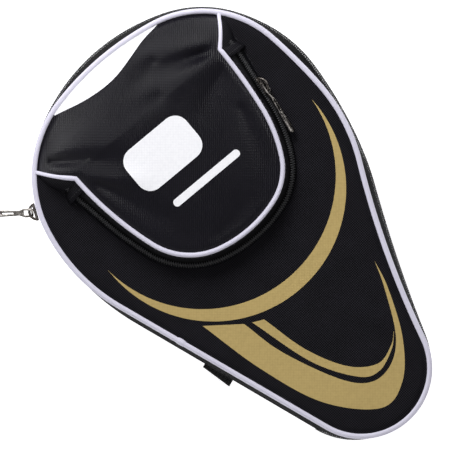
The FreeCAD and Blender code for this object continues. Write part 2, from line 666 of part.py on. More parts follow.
def pull(name, placement):
    """A pull: its eye's end bar is on the pivot, at the origin; X along it, Y through it, Z across it."""
    body = new_body(name)
    outline = new_sketch(body, name + "_outline", role="XZ_Plane")
    bar = size("pull_thickness") / 2
    eye = size("pull_eye_width") / 2
    neck = size("pull_neck_width") / 2
    end = size("pull_end_width") / 2
    neck_x = size("pull_neck_distance")
    round_x = size("pull_length") - end
    chamfer = size("eye_chamfer")
    eye_end = size("eye_hole_end")
    upper = [(-bar, eye - chamfer), (-bar + chamfer, eye), (eye_end, eye), (neck_x, neck), (round_x, end)]
    lower = [(x, -z) for x, z in reversed(upper)]
    edges = []
    for chain in (upper, lower):
        for this, following in zip(chain, chain[1:]):
            edges.append(outline.addGeometry(Part.LineSegment(Vector(*this, 0), Vector(*following, 0))))
    side = eye - chamfer
    back = outline.addGeometry(Part.LineSegment(Vector(-bar, -side, 0), Vector(-bar, side, 0)))
    tip = outline.addGeometry(Part.ArcOfCircle(Part.Circle(Vector(round_x, 0, 0), UP, end),
                                               -math.pi / 2, math.pi / 2))
    for index in edges + [back, tip]:
        outline.addConstraint(Sketcher.Constraint("Block", index))
    pad_both_ways(body, outline, "Dims.pull_thickness")
    holes = new_sketch(body, name + "_holes", role="XZ_Plane")
    hole = size("eye_hole_width") / 2
    slot = size("slot_width") / 2
    slot_start = size("slot_start")
    slot_end = slot_start + size("slot_length")
    draw_polygon(holes, [(size("eye_hole_start"), -hole), (eye_end, -hole), (eye_end, hole),
                         (size("eye_hole_start"), hole)])
    draw_polygon(holes, [(slot_start, -slot), (slot_end, -slot), (slot_end, slot), (slot_start, slot)])
    cut_through(body, holes)
    body.Placement = placement


def frame_at(origin, along, out):
    """A placement with X along and Y out; Z is square to both."""
    return FreeCAD.Placement(origin, Rotation(along, out, along.cross(out), "XYZ"))


def main_slider_frame():
    """On the zip's left shoulder arc, half way up the wall; X runs to the head, Y out of the case."""
    arc = shell_outline("zip", 0)[1][SHELL_ARCS.index("left")]
    heading = math.radians(size("main_slider_heading"))
    origin = arc.point(heading) + UP * (size("case_depth") / 2)
    return frame_at(origin, forward(heading), to_right(heading) * -1)


def pocket_slider_frame():
    """On the pocket's right leg, on the sloping side; X runs down the leg."""
    arc = pocket_outline(size("pocket_coil_mid_inset"))[1][POCKET_ARCS.index("upper_leg")]
    heading = math.radians(size("pocket_slider_heading"))
    slope = math.radians(size("pocket_wall_slope"))
    origin = arc.point(heading) + UP * (size("case_depth") + size("pocket_coil_mid_height"))
    out = to_right(heading) * math.cos(slope) + UP * math.sin(slope)
    return frame_at(origin, forward(heading) * -1, out)


def turned(frame, distance, axis, degrees):
    """A frame moved out along its own Y and turned about one of its own axes."""
    shift = FreeCAD.Placement(Vector(0, distance, 0), Rotation())
    return frame.multiply(shift).multiply(FreeCAD.Placement(Vector(), Rotation(axis, degrees)))


def sliders():
    main = main_slider_frame()
    pocket_frame = pocket_slider_frame()
    slider("main_slider", "main_plate_drop", "main_plate_rise", main)
    slider("pocket_slider", "pocket_plate_drop", "pocket_plate_rise", pocket_frame)
    pivot = size("pull_pivot_distance")
    standing = turned(main, pivot, Vector(0, 1, 0), size("main_pull_tilt"))
    standing = turned(standing, 0, UP, 90 + size("main_pull_swing"))
    pull("main_pull", standing)
    pull("pocket_pull", turned(pocket_frame, pivot, UP, size("pocket_pull_swing")))


def main():
    shell("back", False)
    shell("front", True)
    spine_strip()
    spine_loop()
    pocket()
    sliders()
    doc.recompute()
    for item in doc.Objects:
        if "Invalid" in item.State or "Error" in item.State:
            raise SystemExit(f"{item.Name} failed: {item.State}")
    os.makedirs("parts", exist_ok=True)
    for item in parts:
        shape = item.Shape
        if shape.isNull() or not shape.isValid() or shape.Volume <= 0:
            raise SystemExit(f"{item.Label} has no valid solid")
        print(f"{item.Label}: {len(shape.Solids)} solid, {shape.Volume:.0f} mm3")
        shape.exportStep(f"parts/{item.Label}.step")


main()
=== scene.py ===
"""Looks for the racket case: fabric, piping, zips, prints and metal around the CAD frame."""

import json
import math
from contextlib import contextmanager

import bmesh
import bpy
import numpy as np
from mathutils import Matrix, Vector


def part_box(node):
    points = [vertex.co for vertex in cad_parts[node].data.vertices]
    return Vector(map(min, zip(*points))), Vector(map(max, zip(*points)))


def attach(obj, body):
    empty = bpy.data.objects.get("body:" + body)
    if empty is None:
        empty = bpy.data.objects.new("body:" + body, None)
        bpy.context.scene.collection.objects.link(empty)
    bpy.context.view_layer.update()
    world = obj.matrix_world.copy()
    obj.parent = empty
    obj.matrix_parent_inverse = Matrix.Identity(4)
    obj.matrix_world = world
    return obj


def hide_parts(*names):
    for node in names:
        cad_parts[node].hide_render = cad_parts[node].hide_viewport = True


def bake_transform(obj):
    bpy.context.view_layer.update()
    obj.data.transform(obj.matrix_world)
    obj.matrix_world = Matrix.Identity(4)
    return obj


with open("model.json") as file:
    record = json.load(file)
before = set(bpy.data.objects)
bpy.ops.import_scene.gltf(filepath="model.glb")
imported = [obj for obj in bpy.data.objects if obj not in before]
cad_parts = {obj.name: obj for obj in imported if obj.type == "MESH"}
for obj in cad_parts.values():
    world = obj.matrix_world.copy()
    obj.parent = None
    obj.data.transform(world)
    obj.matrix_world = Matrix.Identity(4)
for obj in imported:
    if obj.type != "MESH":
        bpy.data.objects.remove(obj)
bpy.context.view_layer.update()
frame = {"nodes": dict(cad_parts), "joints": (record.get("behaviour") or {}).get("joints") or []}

MM = 0.001
DEPTH = 34.0
PIPING_RADIUS = 1.9
PIPING_DEPTH = 2.1
POCKET_PIPING_RADIUS = 1.7
RIGHT_IN_VIEW = np.array((0.768, -0.640))
UP_IN_VIEW = np.array((0.640, 0.768))

# -------------------- outlines, in case millimetres

# the case's outer edge and its zip: the foot of the spine, the spine's lean and length, the radii of the
# last three arcs, and the radius and turn of each of the others
EDGE = dict(start=(-39.1, -177.9), lean=20.0, run=149.0, hip=114.9, neck=564.3, tip=44.1,
            arcs=((117.4, 33.0), (75.4, 64.7), (184.2, 24.4), (66.2, 68.9), (326.8, 7.4)))
ZIP = dict(start=(-44.3, -174.5), lean=19.8, run=130.1, hip=160.0, neck=900.0, tip=48.1,
           arcs=((158.5, 25.0), (81.1, 56.8), (123.2, 44.6), (87.7, 76.8), (258.1, 14.0)))
# the pocket's left kink, the radius and turn of each arc, and the turn of the arc that ends level with it
POCKET_START = (-60.0, 45.0)
POCKET_ARCS = ((215.0, 18.0), (45.0, 57.0), (80.0, 33.0), (39.0, 44.0), (95.0, 20.0))
POCKET_LAST_TURN = 8.0
# points on the spine and on each arc
SHELL_COUNTS = (60, 26, 34, 30, 32, 18, 26, 28, 34)
POCKET_COUNTS = (30, 22, 22, 18, 18, 22)
ZIP_UPPER_END_Y = 35.0
POCKET_TOP = DEPTH + 18.0
POCKET_FLARE = 2.6
FLARE_FROM_Y = 12.0
# the zip stands out by CREST_WIDTH where it faces up in the view, and less down to a cosine of CREST_FROM
CREST_FROM = 0.9
CREST_WIDTH = 1.1


def forward(heading):
    """Flat unit direction of a heading, measured clockwise from +Y."""
    return np.array((math.sin(heading), math.cos(heading)))


def to_right(heading):
    """Flat unit direction to the right of a heading."""
    return np.array((math.cos(heading), -math.sin(heading)))


def shell_outline(shape):
    """Points and outward normals, clockwise from the foot of the spine; the last three arcs close it."""
    lean = math.radians(shape["lean"])
    start = np.array(shape["start"])
    heading = -lean
    here = start + forward(heading) * shape["run"]
    points = [start + forward(heading) * (shape["run"] * k / SHELL_COUNTS[0]) for k in range(SHELL_COUNTS[0])]
    normals = [-to_right(heading)] * SHELL_COUNTS[0]

    def add(centre, side, radius, first, last, count):
        for k in range(count):
            turn = first + (last - first) * k / count
            points.append(centre + to_right(turn) * side * radius)
            normals.append(-to_right(turn))
        return centre + to_right(last) * side * radius

    for (radius, turn), count in zip(shape["arcs"], SHELL_COUNTS[1:6]):
        centre = here + to_right(heading) * radius
        end = heading + math.radians(turn)
        here = add(centre, -1, radius, heading, end, count)
        heading = end
    hip, neck, tip = shape["hip"], shape["neck"], shape["tip"]
    hip_centre = here + to_right(heading) * hip
    tip_centre = start + to_right(-lean) * tip
    between = tip_centre - hip_centre
    length = np.linalg.norm(between)
    along = ((hip + neck)**2 - (tip + neck)**2 + length**2) / (2 * length)
    across = math.sqrt((hip + neck)**2 - along**2)
    unit = between / length
    neck_centre = hip_centre + unit * along + np.array((-unit[1], unit[0])) * across
    hip_out = neck_centre - hip_centre
    tip_out = neck_centre - tip_centre
    hip_end = math.atan2(hip_out[1], -hip_out[0]) % (2 * math.pi)
    neck_end = math.atan2(tip_out[1], -tip_out[0]) % (2 * math.pi)
    add(hip_centre, -1, hip, heading, hip_end, SHELL_COUNTS[6])
    add(neck_centre, 1, neck, hip_end, neck_end, SHELL_COUNTS[7])
    add(tip_centre, -1, tip, neck_end, 2 * math.pi - lean, SHELL_COUNTS[8])
    return np.array(points), np.array(normals)


def pocket_outline():
    """Points and outward normals of the pocket's piping, anticlockwise between its kinks."""
    heading = math.pi
    start = np.array(POCKET_START)
    here = start
    points = []
    normals = []
    for (radius, turn), count in zip(POCKET_ARCS + ((None, POCKET_LAST_TURN),), POCKET_COUNTS):
        turn = math.radians(turn)
        if radius is None:
            radius = (start[1] - here[1]) / math.sin(turn)
        centre = here - to_right(heading) * radius
        for k in range(count):
            at = heading - turn * k / count
            points.append(centre + to_right(at) * radius)
            normals.append(to_right(at))
        heading -= turn
        here = centre + to_right(heading) * radius
    return np.array(points + [here]), np.array(normals + [to_right(heading)])


edge, edge_out = shell_outline(EDGE)
zip_line, zip_out = shell_outline(ZIP)
crest = np.clip((zip_out @ UP_IN_VIEW - CREST_FROM) / (1 - CREST_FROM), 0, 1)
zip_line = zip_line + zip_out * (CREST_WIDTH * crest**2)[:, None]
pocket, pocket_out = pocket_outline()
shell_count = len(edge)
shoulder_first = SHELL_COUNTS[0] + SHELL_COUNTS[1]
zip_first = shoulder_first + int(np.argmax(zip_line[shoulder_first:, 1] > ZIP_UPPER_END_Y))


def at_level(height, front):
    """Height above the back face of a level counted from the side's own face."""
    return DEPTH - height if front else height


def on_shell(share, outward, height, front=False, some=slice(None)):
    """A line round the case, a share of the way from the edge outline to the zip's, moved outward."""
    flat = edge * (1 - share) + zip_line * share + (edge_out * (1 - share) + zip_out * share) * outward
    line = np.column_stack((flat, np.full(shell_count, at_level(height, front))))
    return line[some]


def on_pocket(outward, height):
    """A line round the pocket; its foot flares out towards the two ends of the zip."""
    rise = np.clip((pocket[:, 1] - FLARE_FROM_Y) / (pocket[0, 1] - FLARE_FROM_Y), 0, 1)
    flare = POCKET_FLARE * rise**2 * (3 - 2 * rise) * (POCKET_TOP - height) / (POCKET_TOP - DEPTH)
    flat = pocket + pocket_out * (outward + flare)[:, None]
    return np.column_stack((flat, np.full(len(pocket), height)))


def distance_to(line, flat):
    """Shortest distance from each flat point to a closed polyline."""
    best = np.full(len(flat), np.inf)
    for a, b in zip(line, np.roll(line, -1, axis=0)):
        step = b - a
        share = np.clip(((flat - a) @ step) / max(step @ step, 1e-9), 0, 1)
        best = np.minimum(best, np.linalg.norm(flat - a - share[:, None] * step, axis=1))
    return best


def lengths_along(line):
    """Length of a polyline up to each of its points."""
    return np.concatenate(([0], np.cumsum(np.linalg.norm(np.diff(line, axis=0), axis=1))))


def values_at(wanted, along, values):
    """Rows of values at wanted lengths along a line."""
    return np.column_stack([np.interp(wanted, along, column) for column in values.T])


def resample(line, pitch, closed=False):
    """Points at an even pitch along a 3-D line, with the unit direction at each."""
    if closed:
        line = np.vstack((line, line[:1]))
    along = lengths_along(line)
    count = max(2, int(along[-1] / pitch))
    wanted = (np.arange(count) + 0.5) * along[-1] / count
    direction = values_at(wanted + 0.2, along, line) - values_at(wanted - 0.2, along, line)
    return values_at(wanted, along, line), direction / np.linalg.norm(direction, axis=1)[:, None]


def smooth_curve(corners, steps=10):
    """Catmull-Rom curve through a few points."""
    corners = np.array(corners, float)
    padded = np.vstack((2 * corners[0] - corners[1], corners, 2 * corners[-1] - corners[-2]))
    points = []
    for a, b, c, d in zip(padded, padded[1:], padded[2:], padded[3:]):
        for k in range(steps):
            t = k / steps
            points.append(0.5 * (2 * b + (c - a) * t + (2 * a - 5 * b + 4 * c - d) * t**2
                                 + (3 * b - a - 3 * c + d) * t**3))
    return np.array(points + [corners[-1]])


# -------------------- meshes

SAME_PLACE = 1e-6
# the innermost points of a dome meet in places this far apart
SHARED_STEP = 4.6
TOOTH_PITCH = 1.36
TOOTH_WIRE = 0.27


@contextmanager
def mesh_of(piece):
    """A piece's mesh as an editable one, written back at the end."""
    work = bmesh.new()
    work.from_mesh(piece.data)
    yield work
    work.to_mesh(piece.data)
    work.free()


def grid_faces(rows, columns, first=0, wrap=False, rows_wrap=False):
    """Faces between rows of points; wrap joins each row's ends, and rows_wrap the first and last rows."""
    faces = []
    for r in range(rows if rows_wrap else rows - 1):
        here = first + r * columns
        beyond = first + (r + 1) % rows * columns
        for c in range(columns if wrap else columns - 1):
            following = (c + 1) % columns
            faces.append((here + c, here + following, beyond + following, beyond + c))
    return faces


def view_uv(flat):
    """Cloth coordinates of flat points, with the weave square to the view."""
    return np.column_stack((flat @ RIGHT_IN_VIEW, flat @ UP_IN_VIEW))


def linked(name, data):
    """New object in the scene."""
    made = bpy.data.objects.new(name, data)
    bpy.context.scene.collection.objects.link(made)
    return made


def new_piece(name, points, faces, material, body=None, slot=None, replaces=(), uv=None):
    """Make a mesh from millimetres; uv is one pair per point, in millimetres of cloth."""
    mesh = bpy.data.meshes.new(name)
    mesh.from_pydata([tuple(p) for p in np.asarray(points) * MM], [], [tuple(f) for f in faces])
    if uv is not None:
        layer = mesh.uv_layers.new(name="cloth")
        vertex = np.zeros(len(mesh.loops), np.int32)
        mesh.loops.foreach_get("vertex_index", vertex)
        layer.data.foreach_set("uv", (np.asarray(uv)[vertex] * MM).astype(np.float32).ravel())
    mesh.validate()
    mesh.shade_smooth()
    piece = linked(name, mesh)
    mesh.materials.append(material)
    with mesh_of(piece) as work:
        bmesh.ops.recalc_face_normals(work, faces=work.faces)
    return placed(piece, body, slot, replaces)


def placed(piece, body=None, slot=None, replaces=()):
    """Tie a piece to its body and hide the CAD nodes it stands for; slot is not used."""
    if body:
        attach(piece, body)
    if replaces:
        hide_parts(*replaces)
    return piece


def sweep(name, rows, material, closed=True, crisp=True, **placing):
    """Skin between lines that run side by side; the rows close on themselves round the section."""
    rows = np.array(rows)
    sections, count = rows.shape[:2]
    along = lengths_along(rows[0])
    across = lengths_along(np.vstack((rows[:, 0], rows[:1, 0])))
    points = []
    uv = []
    columns = count + 1 if closed else count
    for r in range(sections + 1):
        for c in range(columns):
            points.append(rows[r % sections, c % count])
            reach = along[c] if c < count else along[-1] + along[1]
            uv.append((reach, across[r]))
    piece = new_piece(name, points, grid_faces(sections + 1, columns), material, uv=uv)
    with mesh_of(piece) as work:
        bmesh.ops.remove_doubles(work, verts=work.verts, dist=SAME_PLACE)
        if not closed:
            bmesh.ops.holes_fill(work, edges=[e for e in work.edges if e.is_boundary], sides=0)
        bmesh.ops.recalc_face_normals(work, faces=work.faces)
    if crisp:
        piece.data.set_sharp_from_angle(angle=math.radians(50))
    return placed(piece, **placing)


def tube(name, line, out, radius, material, closed=True, sides=14, **placing):
    """Round tube along 3-D points with flat outward normals; one radius, or one per point."""
    rows = []
    for k in range(sides):
        angle = 2 * math.pi * k / sides
        offset = np.column_stack((out * math.cos(angle), np.full(len(line), math.sin(angle))))
        rows.append(line + offset * np.reshape(radius, (-1, 1)))
    return sweep(name, rows, material, closed, crisp=False, **placing)


def dome(name, boundary, middle, rings, height, material, thickness=0, **placing):
    """Panel whose rings shrink from a flat boundary to a middle segment; height gives z at flat points."""
    a, b = (np.array(point, float) for point in middle)
    step = b - a
    share = np.clip(((boundary - a) @ step) / (step @ step), 0, 1)
    target = a + share[:, None] * step
    flats = []
    for k in range(rings + 1):
        t = (k / rings)**1.25
        if k == rings:
            steps = max(4, int(np.linalg.norm(step) / SHARED_STEP))
            target = a + (np.round(share * steps) / steps)[:, None] * step
        flats.append(boundary * (1 - t) + target * t)
    flat = np.vstack(flats)
    faces = grid_faces(rings + 1, len(boundary), wrap=True)
    piece = new_piece(name, np.column_stack((flat, height(flat))), faces, material, uv=view_uv(flat))
    with mesh_of(piece) as work:
        bmesh.ops.remove_doubles(work, verts=work.verts, dist=20 * SAME_PLACE)
        bmesh.ops.dissolve_degenerate(work, dist=10 * SAME_PLACE, edges=work.edges)
        bmesh.ops.recalc_face_normals(work, faces=work.faces)
    if thickness:
        thicken(piece, thickness)
    return placed(piece, **placing)


def thicken(piece, thickness):
    """Give a cloth its thickness, away from its outer face."""
    upward = sum(face.normal.z * face.area for face in piece.data.polygons) > 0
    solid = piece.modifiers.new("thickness", "SOLIDIFY")
    solid.thickness = abs(thickness) * MM
    solid.offset = (-1 if thickness > 0 else 1) * (1 if upward else -1)
    bake(piece)


def bake(piece):
    """Apply the modifiers of a piece."""
    seen = piece.evaluated_get(bpy.context.evaluated_depsgraph_get())
    mesh = bpy.data.meshes.new_from_object(seen)
    piece.modifiers.clear()
    old = piece.data
    piece.data = mesh
    mesh.name = old.name
    bpy.data.meshes.remove(old)


def strip_between(name, first, last, rows, height, material, lift, **placing):
    """Print between two flat curves with the same count of points, laid on a surface."""
    flats = [first * (1 - k / rows) + last * (k / rows) for k in range(rows + 1)]
    flat = np.vstack(flats)
    points = np.column_stack((flat, height(flat) + lift))
    faces = grid_faces(rows + 1, len(first))
    return new_piece(name, points, faces, material, uv=view_uv(flat), **placing)


def stitches(name, line, material, body, pitch=3.0, length=2.2, radius=0.2, closed=True):
    """Row of sewn stitches: short rounded lengths of thread."""
    points, direction = resample(line, pitch, closed)
    profile = ((-0.5, 0.25), (-0.38, 0.85), (0.0, 1.0), (0.38, 0.85), (0.5, 0.25))
    sides = 6
    verts = []
    faces = []
    for centre, ahead in zip(points, direction):
        aside = np.cross(ahead, (0, 0, 1.0))
        aside /= max(np.linalg.norm(aside), 1e-6)
        above = np.cross(aside, ahead)
        first = len(verts)
        for along, size in profile:
            for k in range(sides):
                angle = 2 * math.pi * k / sides
                offset = aside * math.cos(angle) + above * math.sin(angle)
                verts.append(centre + ahead * along * length + offset * radius * size)
        faces += grid_faces(len(profile), sides, first, wrap=True)
        faces.append([first + k for k in range(sides)][::-1])
        faces.append([first + (len(profile) - 1) * sides + k for k in range(sides)])
    return new_piece(name, verts, faces, material, body)


def teeth(name, line, out, loop, material, phase, **placing):
    """Nylon coil: one closed loop of wire per tooth; loop holds (outward, up) pairs."""
    points, direction = resample(line, TOOTH_PITCH)
    along = lengths_along(line)
    outs = values_at((np.arange(len(points)) + 0.5) * along[-1] / len(points), along, out)
    loop = np.array(loop)
    count = len(loop)
    sides = 5
    tangent = np.roll(loop, -1, axis=0) - np.roll(loop, 1, axis=0)
    tangent /= np.linalg.norm(tangent, axis=1)[:, None]
    verts = []
    faces = []
    for centre, ahead, away in zip(points + direction * (phase * TOOTH_PITCH), direction, outs):
        away3 = np.array((away[0], away[1], 0.0))
        first = len(verts)
        for n, ((outward_by, up_by), (tangent_out, tangent_up)) in enumerate(zip(loop, tangent)):
            slant = 0.16 * math.cos(2 * math.pi * n / count)
            place = centre + away3 * outward_by + np.array((0, 0, up_by)) + ahead * slant
            side = away3 * -tangent_up + np.array((0, 0, tangent_out))
            for k in range(sides):
                angle = 2 * math.pi * k / sides
                verts.append(place + (side * math.cos(angle) + ahead * math.sin(angle)) * TOOTH_WIRE)
        faces += grid_faces(count, sides, first, wrap=True, rows_wrap=True)
    return new_piece(name, verts, faces, material, **placing)


def refined(node, name, material, body, slot, bevel=0.22, swell=0.0):
    """Copy of a metal CAD piece with rounded edges, a little thicker if it swells."""
    piece = linked(name, frame["nodes"][node].data.copy())
    with mesh_of(piece) as work:
        bmesh.ops.remove_doubles(work, verts=work.verts, dist=SAME_PLACE)
        bmesh.ops.dissolve_limit(work, angle_limit=math.radians(2), verts=work.verts, edges=work.edges)
    piece.data.materials.clear()
    piece.data.materials.append(material)
    round_off = piece.modifiers.new("rounding", "BEVEL")
    round_off.width = bevel * MM
    round_off.segments = 3
    round_off.limit_method = "ANGLE"
    round_off.angle_limit = math.radians(40)
    if swell:
        thicker = piece.modifiers.new("thicker", "DISPLACE")
        thicker.mid_level = 0
        thicker.strength = swell * MM
    bake(piece)
    piece.data.shade_smooth()
    piece.data.set_sharp_from_angle(angle=math.radians(38))
    return placed(piece, body, slot, (node,))


# -------------------- materials

class Look:
    """A node material, built up by short calls; cloth is its weave's own coordinates, in metres."""

    def __init__(self, name, roughness=0.6, metallic=0.0, sheen=0.0, specular=0.5):
        self.material = bpy.data.materials.new(name)
        self.material.use_nodes = True
        self.tree = self.material.node_tree
        self.shader = self.tree.nodes["Principled BSDF"]
        self.shader.inputs["Roughness"].default_value = roughness
        self.shader.inputs["Metallic"].default_value = metallic
        self.shader.inputs["Sheen Weight"].default_value = sheen
        self.shader.inputs["Sheen Roughness"].default_value = 0.45
        self.shader.inputs["Specular IOR Level"].default_value = specular
        self.cloth = self.node("ShaderNodeTexCoord").outputs["UV"]
        self.space = self.node("ShaderNodeTexCoord").outputs["Object"]

    def node(self, kind, *inputs, **settings):
        """New node with its settings and its first inputs set."""
        made = self.tree.nodes.new(kind)
        for name, value in settings.items():
            setattr(made, name, value)
        for socket, value in zip(made.inputs, inputs):
            self.set(socket, value)
        return made

    def set(self, socket, value):
        """Link an output to a socket, or write a constant on it."""
        if isinstance(value, bpy.types.NodeSocket):
            self.tree.links.new(value, socket)
        elif value is not None:
            socket.default_value = value

    def math(self, operation, *inputs):
        """Result of one arithmetic node."""
        return self.node("ShaderNodeMath", *inputs, operation=operation).outputs[0]

    def wave(self, turns_u, turns_v):
        """Sine of so many turns per metre of cloth each way, from 0 to 1."""
        split = self.node("ShaderNodeSeparateXYZ", self.cloth)
        u = self.math("MULTIPLY", split.outputs[0], 2 * math.pi * turns_u)
        v = self.math("MULTIPLY", split.outputs[1], 2 * math.pi * turns_v)
        return self.math("MULTIPLY_ADD", self.math("SINE", self.math("ADD", u, v)), 0.5, 0.5)

    def noise(self, scale, detail=3.0):
        """Soft random patches, so many to the metre."""
        made = self.node("ShaderNodeTexNoise")
        self.set(made.inputs["Vector"], self.space)
        made.inputs["Scale"].default_value = scale
        made.inputs["Detail"].default_value = detail
        return made.outputs["Fac"]

    def cells(self, scale):
        """Distance from the middle of the nearest of many small cells."""
        made = self.node("ShaderNodeTexVoronoi")
        self.set(made.inputs["Vector"], self.space)
        made.inputs["Scale"].default_value = scale
        return made.outputs["Distance"]

    def ramp(self, value, low, high, dark, light):
        """Colour that goes from dark to light as a value goes from low to high."""
        made = self.node("ShaderNodeMapRange", value, low, high, 0.0, 1.0)
        blend = self.node("ShaderNodeMix", data_type="RGBA")
        self.set(blend.inputs["Factor"], made.outputs[0])
        blend.inputs["A"].default_value = (*dark, 1)
        blend.inputs["B"].default_value = (*light, 1)
        return blend.outputs["Result"]

    def colour(self, value):
        """Let a colour set the surface's own."""
        self.set(self.shader.inputs["Base Color"], value)
        return self

    def rough(self, value, low, high):
        """Let a value from 0 to 1 set the roughness between two limits."""
        made = self.node("ShaderNodeMapRange", value, 0.0, 1.0, low, high)
        self.set(self.shader.inputs["Roughness"], made.outputs[0])
        return self

    def bump(self, height, depth, strength=0.6):
        """Let a height shade the surface as relief of a depth in millimetres."""
        made = self.node("ShaderNodeBump")
        made.inputs["Strength"].default_value = strength
        made.inputs["Distance"].default_value = depth * MM
        self.set(made.inputs["Height"], height)
        self.set(self.shader.inputs["Normal"], made.outputs[0])
        return self


def checked_cloth(name, dark, light, pitch, depth, specular, sheen=0.0):
    """Plain weave whose threads show as small dots."""
    look = Look(name, 0.7, sheen=sheen, specular=specular)
    turns = 1000 / pitch
    warp = look.wave(turns, 0)
    weft = look.wave(0, turns)
    between = look.math("MULTIPLY", look.math("SUBTRACT", 1.0, warp), look.math("SUBTRACT", 1.0, weft))
    dots = look.math("ADD", look.math("MULTIPLY", warp, weft), between)
    patchy = look.noise(60.0)
    height = look.math("ADD", dots, look.math("MULTIPLY", patchy, 0.25))
    look.colour(look.ramp(height, 0.45, 1.2, dark, light))
    look.rough(patchy, 0.55, 0.8).bump(height, depth)
    return look.material


def ribbed_cloth(name, dark, light, pitch, depth, specular, slant=0.0):
    """Cloth with fine ribs that run up the cloth, crossed by finer threads."""
    look = Look(name, 0.65, specular=specular)
    turns = 1000 / pitch
    ribs = look.wave(turns, turns * slant)
    threads = look.wave(0, turns * 1.3)
    patchy = look.noise(45.0)
    height = look.math("ADD", ribs, look.math("MULTIPLY", threads, 0.35))
    shade = look.math("ADD", height, look.math("MULTIPLY", patchy, 0.5))
    look.colour(look.ramp(shade, 0.2, 1.6, dark, light))
    look.rough(patchy, 0.32, 0.44).bump(height, depth)
    return look.material


def print_ink(name, dark, light, pitch, roughness, metallic=0.0):
    """Screen print that shows the weave beneath it and is rubbed in places."""
    look = Look(name, roughness, metallic)
    turns = 1000 / pitch
    weave = look.math("MULTIPLY", look.wave(turns, 0), look.wave(0, turns))
    rubbed = look.noise(500.0, 6.0)
    shade = look.math("ADD", look.math("MULTIPLY", weave, 0.5), look.math("MULTIPLY", rubbed, 0.8))
    look.colour(look.ramp(shade, 0.15, 0.75, dark, light)).rough(rubbed, roughness - 0.08, roughness + 0.15)
    look.bump(weave, 0.12)
    return look.material


def metal(name, dark, light, roughness):
    """Dark plated metal with smudges and brighter rubbed spots."""
    look = Look(name, roughness, 1.0)
    smudge = look.noise(500.0, 5.0)
    fine = look.noise(2500.0, 2.0)
    look.colour(look.ramp(smudge, 0.3, 0.7, dark, light)).rough(smudge, roughness - 0.08, roughness + 0.16)
    look.bump(fine, 0.03, 0.35)
    return look.material


def foam(name, dark, light):
    """Closed-cell foam."""
    look = Look(name, 0.9, specular=0.2)
    cells = look.cells(900.0)
    look.colour(look.ramp(cells, 0.0, 0.6, dark, light)).bump(cells, 0.3).rough(cells, 0.8, 0.95)
    return look.material


def plain_thread(name, dark, light):
    """Twisted thread or nylon wire."""
    look = Look(name, 0.5, specular=0.4)
    twist = look.noise(1500.0, 2.0)
    look.colour(look.ramp(twist, 0.3, 0.7, dark, light)).bump(twist, 0.08).rough(twist, 0.4, 0.65)
    return look.material


panel_cloth = checked_cloth("panel_cloth", (0.0002, 0.0002, 0.0003), (0.025, 0.0235, 0.031),
                            pitch=1.6, depth=0.35, specular=0.06)
# painted shade: the gussets and the spine use the panel's black nylon painted about five times darker, the
# way the sides look in shade
shaded_wall_cloth = checked_cloth("shaded_wall_cloth", (0.0003, 0.0003, 0.0004), (0.005, 0.005, 0.0066),
                           pitch=1.0, depth=0.25, specular=0.06)
pocket_cloth = ribbed_cloth("pocket_cloth", (0.0002, 0.0002, 0.0005), (0.0050, 0.0040, 0.0095),
                            pitch=1.25, depth=0.45, specular=0.2)
rim_cloth = ribbed_cloth("rim_cloth", (0.0004, 0.0004, 0.0006), (0.006, 0.0058, 0.008),
                         pitch=1.0, depth=0.3, specular=0.08)
piping_cloth = ribbed_cloth("piping_cloth", (0.50, 0.485, 0.59), (0.68, 0.66, 0.77),
                            pitch=0.9, depth=0.12, specular=0.2, slant=0.6)
tape_cloth = ribbed_cloth("tape_cloth", (0.0004, 0.0004, 0.0005), (0.005, 0.005, 0.0055),
                          pitch=0.8, depth=0.2, specular=0.06, slant=1.0)
binding_cloth = ribbed_cloth("binding_cloth", (0.002, 0.002, 0.0022), (0.012, 0.012, 0.013),
                             pitch=1.2, depth=0.2, specular=0.2)
webbing_cloth = ribbed_cloth("webbing_cloth", (0.001, 0.001, 0.0012), (0.011, 0.011, 0.012),
                             pitch=1.6, depth=0.35, specular=0.15, slant=0.5)
lining_cloth = checked_cloth("lining_cloth", (0.006, 0.006, 0.007), (0.030, 0.030, 0.034),
                             pitch=0.8, depth=0.15, specular=0.2, sheen=0.1)
coil_nylon = plain_thread("coil_nylon", (0.012, 0.012, 0.013), (0.08, 0.08, 0.086))
thread = plain_thread("thread", (0.005, 0.005, 0.006), (0.022, 0.022, 0.025))
board_foam = foam("board_foam", (0.02, 0.02, 0.022), (0.07, 0.07, 0.075))
gold_ink = print_ink("gold_ink", (0.365, 0.265, 0.094), (0.46, 0.34, 0.125), pitch=1.0, roughness=0.5,
                     metallic=0.2)
white_ink = print_ink("white_ink", (0.72, 0.72, 0.76), (0.82, 0.82, 0.85), pitch=1.0, roughness=0.5)
black_nickel = metal("black_nickel", (0.10, 0.092, 0.085), (0.50, 0.47, 0.44), roughness=0.2)
slider_metal = metal("slider_metal", (0.06, 0.052, 0.047), (0.32, 0.29, 0.265), roughness=0.24)

# -------------------- the two shells

# the zip runs from the shoulder round the head to the foot of the spine, and the fabric spine takes the rest
zip_points = np.r_[zip_first:shell_count, 0]
hinge_points = np.r_[shell_count - 1, 0:zip_first + 2]

FABRIC = 1.2


def panel_height(front, level, crown, sag):
    """Crowned panel: pulled down at its seam and full in the middle, away from the case's inside."""
    seam = edge - edge_out * 4.0

    def height(flat):
        depth = distance_to(seam, flat)
        rise = crown * (1 - np.exp(-(depth / 26.0)**2)) - sag * np.exp(-(depth / 1.6)**2)
        ripple = 0.18 * np.sin(flat[:, 0] * 0.11 + 1.0) * np.sin(flat[:, 1] * 0.083)
        ripple *= 1 - np.exp(-(depth / 12.0)**2)
        return level + (rise + ripple if front else -rise - ripple)
    return height


front_face = panel_height(True, DEPTH, 1.3, 1.1)
back_face = panel_height(False, 0.0, 0.25, -0.4)
front_inside = panel_height(False, 29.0, 0.7, 0.1)
back_inside = panel_height(True, 5.0, 0.7, 0.1)
AXIS_OF_CASE = ((0.0, 0.0), (0.0, -150.0))
